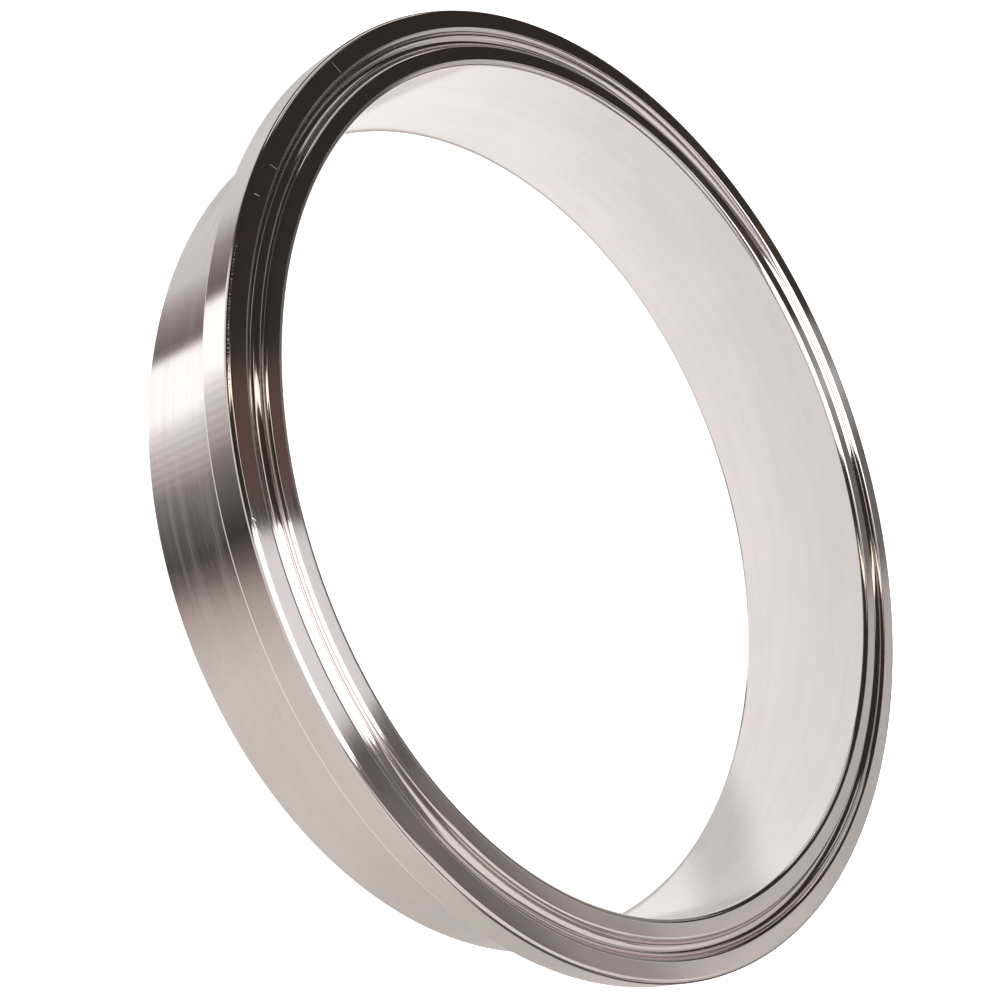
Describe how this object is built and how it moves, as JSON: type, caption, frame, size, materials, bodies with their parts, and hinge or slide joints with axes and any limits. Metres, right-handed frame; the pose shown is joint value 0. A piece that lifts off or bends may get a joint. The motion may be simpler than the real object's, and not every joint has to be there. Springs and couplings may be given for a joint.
{
  "type": "sanitary clamp ferrule",
  "caption": "Short stainless weld ferrule turned in one piece: a thin tube stub with a clamp flange, tapered on its back, and a half-round gasket groove in its sealing face.",
  "frame": {"origin": "centre of the weld end, in the plane of its flat face, on the bore's axis", "axes": "+Z along the bore, from the weld end to the sealing face; the part is round, so X and Y are free"},
  "size_m": [0.1668, 0.1668, 0.0286],
  "materials": {
    "stainless_steel": "turned and polished stainless steel, warm grey, with fine circular tool lines and a few light scratches"
  },
  "bodies": {
    "root": {"clamp_ferrule": "stainless_steel"}
  },
  "joints": []
}
